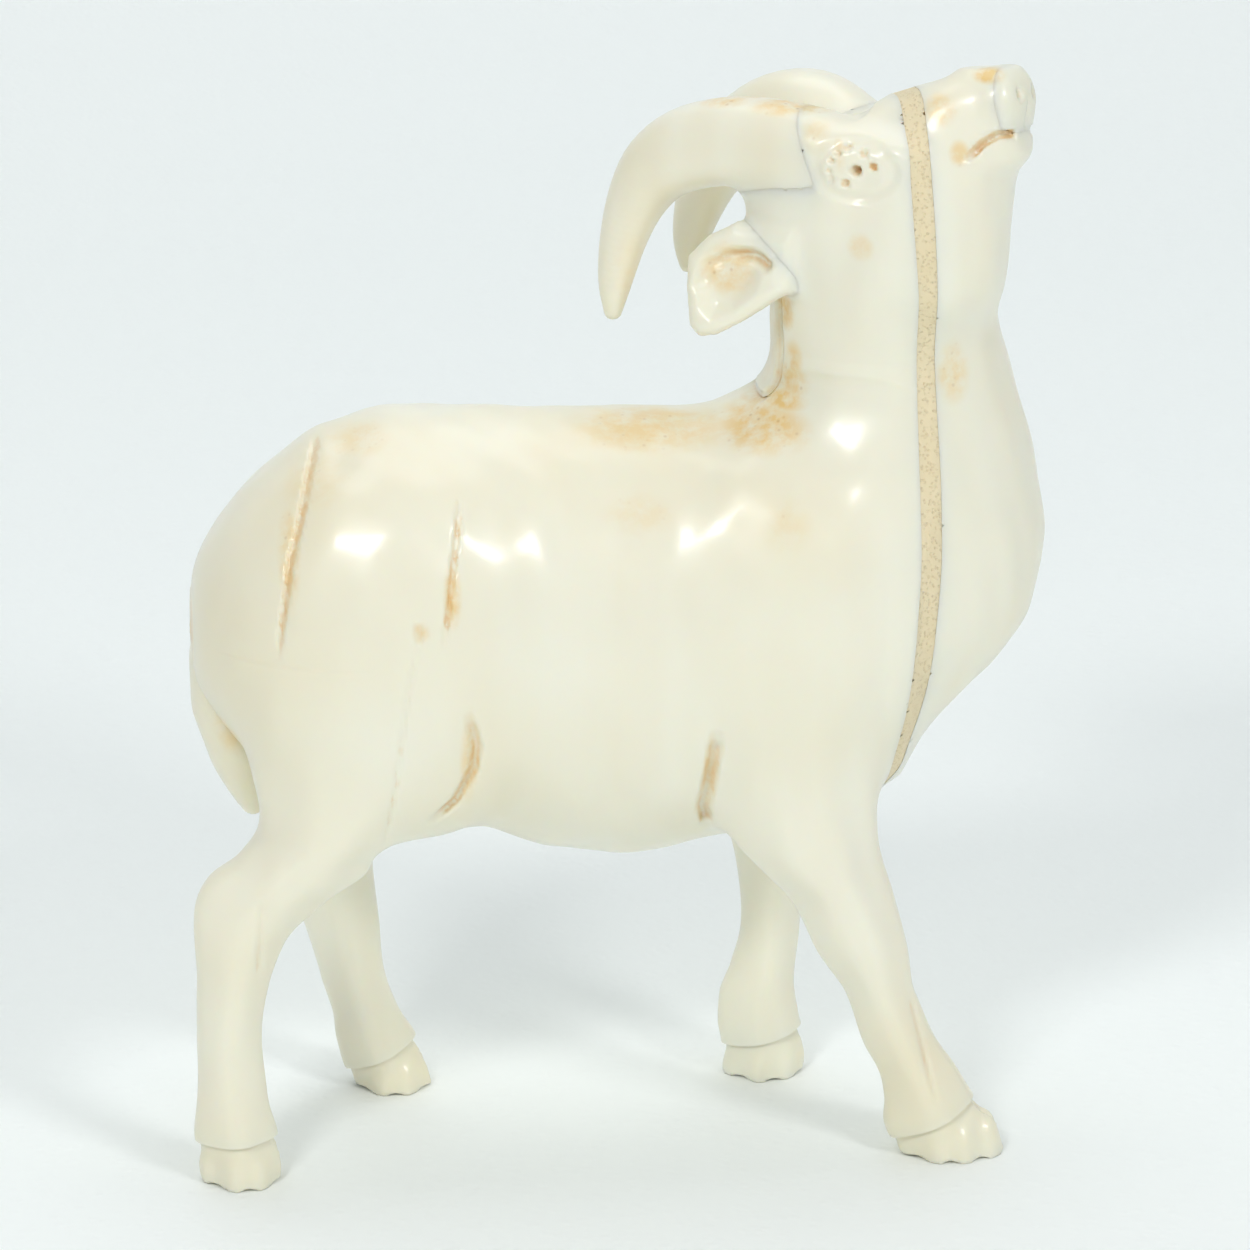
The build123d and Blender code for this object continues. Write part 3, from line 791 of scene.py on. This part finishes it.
# stains, in the ram's drawing axes: (x, y, z), half sizes, strength
TRUNK_STAINS = [
    ((3.0, -5.0, 66.0), (9.0, 8.0, 2.4), 0.8),
    ((12.5, -5.0, 65.8), (5.5, 7.0, 2.6), 1.1),
    ((15.2, -4.0, 69.5), (2.6, 3.0, 2.6), 1.0),
    ((-24.0, -6.0, 66.2), (5.0, 6.0, 2.2), 0.8),
    ((-29.0, -10.0, 56.0), (1.2, 4.0, 9.0), 0.7),
    ((-15.4, -14.0, 54.0), (1.0, 3.0, 3.4), 0.9),
    ((-18.2, -14.0, 51.3), (1.2, 3.0, 1.2), 0.7),
    ((1.0, -12.0, 60.0), (4.0, 5.0, 2.2), 0.3),
    ((13.5, -12.0, 59.0), (3.0, 4.0, 3.0), 0.3),
    ((-33.7, -3.0, 40.0), (2.0, 4.0, 4.0), 0.6),
]
NECK_AND_FOLD_STAINS = [
    ((28.5, -9.5, 71.3), (2.4, 3.0, 3.4), 0.7),
    ((-27.7, -8.0, 63.7), (5.0, 6.0, 4.0), 0.35),
    ((14.0, 0.0, 73.0), (3.0, 4.5, 7.0), 0.35),
    ((14.5, -3.5, 76.0), (1.0, 3.0, 2.4), 1.2),
    ((15.3, -3.5, 71.5), (1.1, 3.0, 3.2), 1.4),
    ((14.8, -4.0, 68.0), (3.0, 3.5, 1.4), 1.4),
    ((10.0, -4.5, 66.8), (4.0, 4.0, 1.0), 1.1),
    ((7.0, -13.0, 36.0), (0.9, 4.0, 6.0), 0.7),
    ((-14.0, -13.0, 40.0), (1.1, 4.0, 6.0), 0.7),
]
HEAD_STAINS = [
    (from_head(8.2, -4.5, 7.4), (1.9, 2.2, 1.9), 0.9),
    (from_head(11.4, -2.0, 10.6), (1.8, 2.4, 0.9), 1.5),
    (from_head(-1.6, -8.0, 4.2), (2.0, 2.6, 2.2), 1.1),
    (from_head(-4.5, -7.0, 6.6), (4.4, 2.8, 1.1), 1.2),
    (from_head(-10.0, -7.0, 6.6), (5.0, 2.6, 0.8), 1.0),
    (from_head(3.4, -8.5, -4.4), (1.5, 2.0, 1.5), 0.45),
    (from_head(0.8, -8.5, 3.0), (0.8, 2.0, 2.0), 0.9),
    (from_head(-8.4, -9.5, -7.6), (3.0, 3.0, 3.0), 0.8),
    (from_head(10.4, -5.0, 4.1), (1.1, 2.0, 1.4), 0.8),
    (from_head(-19.5, -6.5, -9.0), (2.0, 3.0, 5.0), 0.25),
]


def ivory(name, base, warm, stains=(), gloss=0.27, grain=0.5):
    """Polished ivory: faint growth grain, warm clouds, painted shade in the hollows and fine pores.
    """
    m = Nodes(name)
    cloud = m.noise(55, 1, 0.4)
    colour = m.mix(m.ramp(cloud, [(0.40, (0, 0, 0)), (0.75, (0.8, 0.8, 0.8))]), base, warm)
    lines = m.noise(230, 1, 0.4, (1.0, 1.0, 0.05))
    streaks = m.ramp(lines, [(0.42, (0, 0, 0)), (0.70, (1, 1, 1))])
    colour = m.mix(m.math("MULTIPLY", streaks, 0.3 * grain), colour, (0.80, 0.70, 0.48))
    stain_noise = m.ramp(m.noise(620, 4, 0.6), [(0.36, (0.25, 0.25, 0.25)), (0.60, (1, 1, 1))])
    total = None
    for centre, sizes, strength in stains:
        here = (centre[0] + SHIFT_X, centre[1] + MID_Y, centre[2])
        spot = m.math("MULTIPLY", m.spot(here, sizes), strength)
        total = spot if total is None else m.math("MAXIMUM", total, spot)
    pores = m.ramp(m.cells(900), [(0.0, (1, 1, 1)), (0.2, (0, 0, 0))])
    if total is not None:
        amount = m.math("MULTIPLY", total, stain_noise)
        colour = m.mix(m.math("MULTIPLY", amount, 0.85, True), colour, (0.84, 0.60, 0.25))
        dark = m.math("MULTIPLY", m.math("MULTIPLY", pores, total), 0.55)
        colour = m.mix(dark, colour, (0.50, 0.29, 0.10))
    # painted shade in the hollows: a tan darkening, broken up by the stain noise, where the skin
    # curves inward
    hollow_shade = m.tree.nodes.new("ShaderNodeAttribute")
    hollow_shade.attribute_name = "hollow_shade"
    crevice = m.ramp(hollow_shade.outputs["Fac"], [(0.15, (0, 0, 0)), (0.7, (1, 1, 1))])
    colour = m.mix(m.math("MULTIPLY", crevice, m.math("MULTIPLY", stain_noise, 0.8)), colour,
                   (0.80, 0.52, 0.21))
    m.link(colour, m.shader.inputs["Base Color"])
    wear = m.noise(700, 4, 0.6)
    rough = m.tree.nodes.new("ShaderNodeMapRange")
    rough.inputs["To Min"].default_value = gloss
    rough.inputs["To Max"].default_value = gloss + 0.12
    m.link(wear, rough.inputs["Value"])
    m.link(rough.outputs[0], m.shader.inputs["Roughness"])
    m.shader.inputs["Subsurface Weight"].default_value = 0.35
    m.shader.inputs["Subsurface Radius"].default_value = (1.0, 0.72, 0.42)
    m.shader.inputs["Subsurface Scale"].default_value = 0.0022
    m.shader.inputs["IOR"].default_value = 1.52
    m.shader.inputs["Coat Weight"].default_value = 0.25
    m.shader.inputs["Coat Roughness"].default_value = 0.12
    facets = m.noise(160, 2, 0.4)
    normal = m.bump(facets, 0.12, 0.0003)
    normal = m.bump(lines, 0.12 * grain, 0.0001, normal)
    m.link(normal, m.shader.inputs["Normal"])
    return m.material


def porous_band():
    """The tan layer: matt, with fine open pores."""
    m = Nodes("porous_band")
    cloud = m.noise(220, 4, 0.6)
    colour = m.mix(cloud, (0.80, 0.665, 0.42), (0.86, 0.745, 0.51))
    pores = m.ramp(m.cells(3000), [(0.0, (1, 1, 1)), (0.45, (0, 0, 0))])
    colour = m.mix(m.math("MULTIPLY", pores, 0.3), colour, (0.60, 0.43, 0.22))
    m.link(colour, m.shader.inputs["Base Color"])
    m.shader.inputs["Roughness"].default_value = 0.62
    m.shader.inputs["Subsurface Weight"].default_value = 0.2
    m.shader.inputs["Subsurface Radius"].default_value = (1.0, 0.7, 0.4)
    m.shader.inputs["Subsurface Scale"].default_value = 0.0015
    m.link(m.bump(m.math("MULTIPLY", pores, -1.0), 0.8, 0.00012), m.shader.inputs["Normal"])
    return m.material


def paint(pieces):
    """Each piece's material."""
    base = (0.885, 0.865, 0.725)
    warm = (0.86, 0.80, 0.60)
    body = ivory("polished_ivory", base, warm, TRUNK_STAINS + NECK_AND_FOLD_STAINS)
    head = ivory("polished_ivory_head", base, warm, NECK_AND_FOLD_STAINS + HEAD_STAINS)
    block = ivory("polished_ivory_block", base, warm,
                  TRUNK_STAINS + NECK_AND_FOLD_STAINS + HEAD_STAINS)
    horn = ivory("horn_ivory", base, warm, HEAD_STAINS, 0.27, 0.8)
    hoof = ivory("hoof_ivory", (0.89, 0.865, 0.71), (0.86, 0.79, 0.58), (), 0.28, 0.6)
    band = porous_band()
    for node, piece in pieces.items():
        if node == "body_block":
            material, slot = block, "polished_ivory"
        elif node == "neck_band":
            material, slot = band, "porous_band"
        elif node.startswith("horn"):
            material, slot = horn, "horn_ivory"
        elif node.startswith("hoof"):
            material, slot = hoof, "hoof_ivory"
        elif node == "tail":
            material, slot = body, "polished_ivory"
        else:
            material, slot = head, "polished_ivory"
        piece.data.materials.append(material)


# ---------------------------------------------------------------- stage
FRAME_PIXELS = 1250
PIXELS_PER_MM = 11.4             # at the ram
CAMERA_DISTANCE = 0.6            # m
FLOOR_BEND_FROM, FLOOR_BEND_RADIUS, FLOOR_HALF_WIDTH = 0.3, 0.25, 0.9     # m


def make_camera():
    """The viewing angle: a little behind the flank, looking down at 18 degrees."""
    azimuth, elevation = math.radians(-6.0), math.radians(18.0)
    target = Vector((0.9 + SHIFT_X, MID_Y, 46.5)) * MM
    back = Vector((math.sin(azimuth) * math.cos(elevation),
                   -math.cos(azimuth) * math.cos(elevation), math.sin(elevation)))
    data = bpy.data.cameras.new("camera")
    camera = bpy.data.objects.new("camera", data)
    camera.location = target + back * CAMERA_DISTANCE
    camera.rotation_euler = back.to_track_quat("Z", "Y").to_euler()
    frame_width = FRAME_PIXELS / PIXELS_PER_MM * MM
    data.sensor_width = 36.0
    data.lens = data.sensor_width * CAMERA_DISTANCE / frame_width
    data.clip_start = 0.01
    bpy.context.scene.collection.objects.link(camera)
    bpy.context.scene.camera = camera


def make_floor():
    """A pale embossed sheet that runs back and curves up."""
    depth = [-0.6, -0.3, -0.15, 0.0, 0.15, 0.3]
    profile = [(y, 0.0) for y in depth]
    for i in range(1, 13):
        angle = math.radians(90 * i / 12)
        profile.append((FLOOR_BEND_FROM + FLOOR_BEND_RADIUS * math.sin(angle),
                        FLOOR_BEND_RADIUS * (1 - math.cos(angle))))
    profile.append((FLOOR_BEND_FROM + FLOOR_BEND_RADIUS, 1.0))
    vertices = [(side * FLOOR_HALF_WIDTH, y, z) for y, z in profile for side in (-1, 1)]
    faces = [(2 * i, 2 * i + 1, 2 * i + 3, 2 * i + 2) for i in range(len(profile) - 1)]
    mesh = bpy.data.meshes.new("sheet")
    mesh.from_pydata(vertices, [], faces)
    mesh.polygons.foreach_set("use_smooth", [True] * len(mesh.polygons))
    floor = bpy.data.objects.new("sheet", mesh)
    bpy.context.scene.collection.objects.link(floor)
    m = Nodes("embossed_sheet")
    m.shader.inputs["Base Color"].default_value = (0.93, 0.965, 0.955, 1)
    m.shader.inputs["Roughness"].default_value = 0.6
    beads = m.ramp(m.cells(800), [(0.0, (1, 1, 1)), (0.5, (0, 0, 0))])
    m.link(m.bump(beads, 0.25, 0.0002), m.shader.inputs["Normal"])
    mesh.materials.append(m.material)


def area_light(name, place, aim, size, power):
    data = bpy.data.lights.new(name, "AREA")
    data.shape = "RECTANGLE"
    data.size, data.size_y = size
    data.energy = power
    light = bpy.data.objects.new(name, data)
    light.location = place
    light.rotation_euler = (Vector(place) - Vector(aim)).to_track_quat("Z", "Y").to_euler()
    bpy.context.scene.collection.objects.link(light)


def make_lights():
    aim = (0, 0, 0.05)
    area_light("key", (-0.35, -0.62, 0.62), aim, (0.18, 0.14), 2.2)
    area_light("second", (0.42, -0.60, 0.55), aim, (0.18, 0.14), 1.8)
    area_light("top", (0.0, 0.30, 1.0), (0, 0.2, 0.0), (0.9, 0.7), 3.0)
    area_light("fill", (0.0, -1.1, 0.35), aim, (0.9, 0.6), 0.5)
    world = bpy.data.worlds.new("world")
    world.use_nodes = True
    background = world.node_tree.nodes["Background"]
    background.inputs[0].default_value = (0.93, 0.97, 1.0, 1)
    background.inputs[1].default_value = 0.38
    bpy.context.scene.world = world
    bpy.context.scene.view_settings.view_transform = "Standard"


make_camera()
make_floor()
make_lights()
pieces = build_pieces()
paint(pieces)
for node, piece in pieces.items():
    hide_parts(node)
    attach(piece, "root")
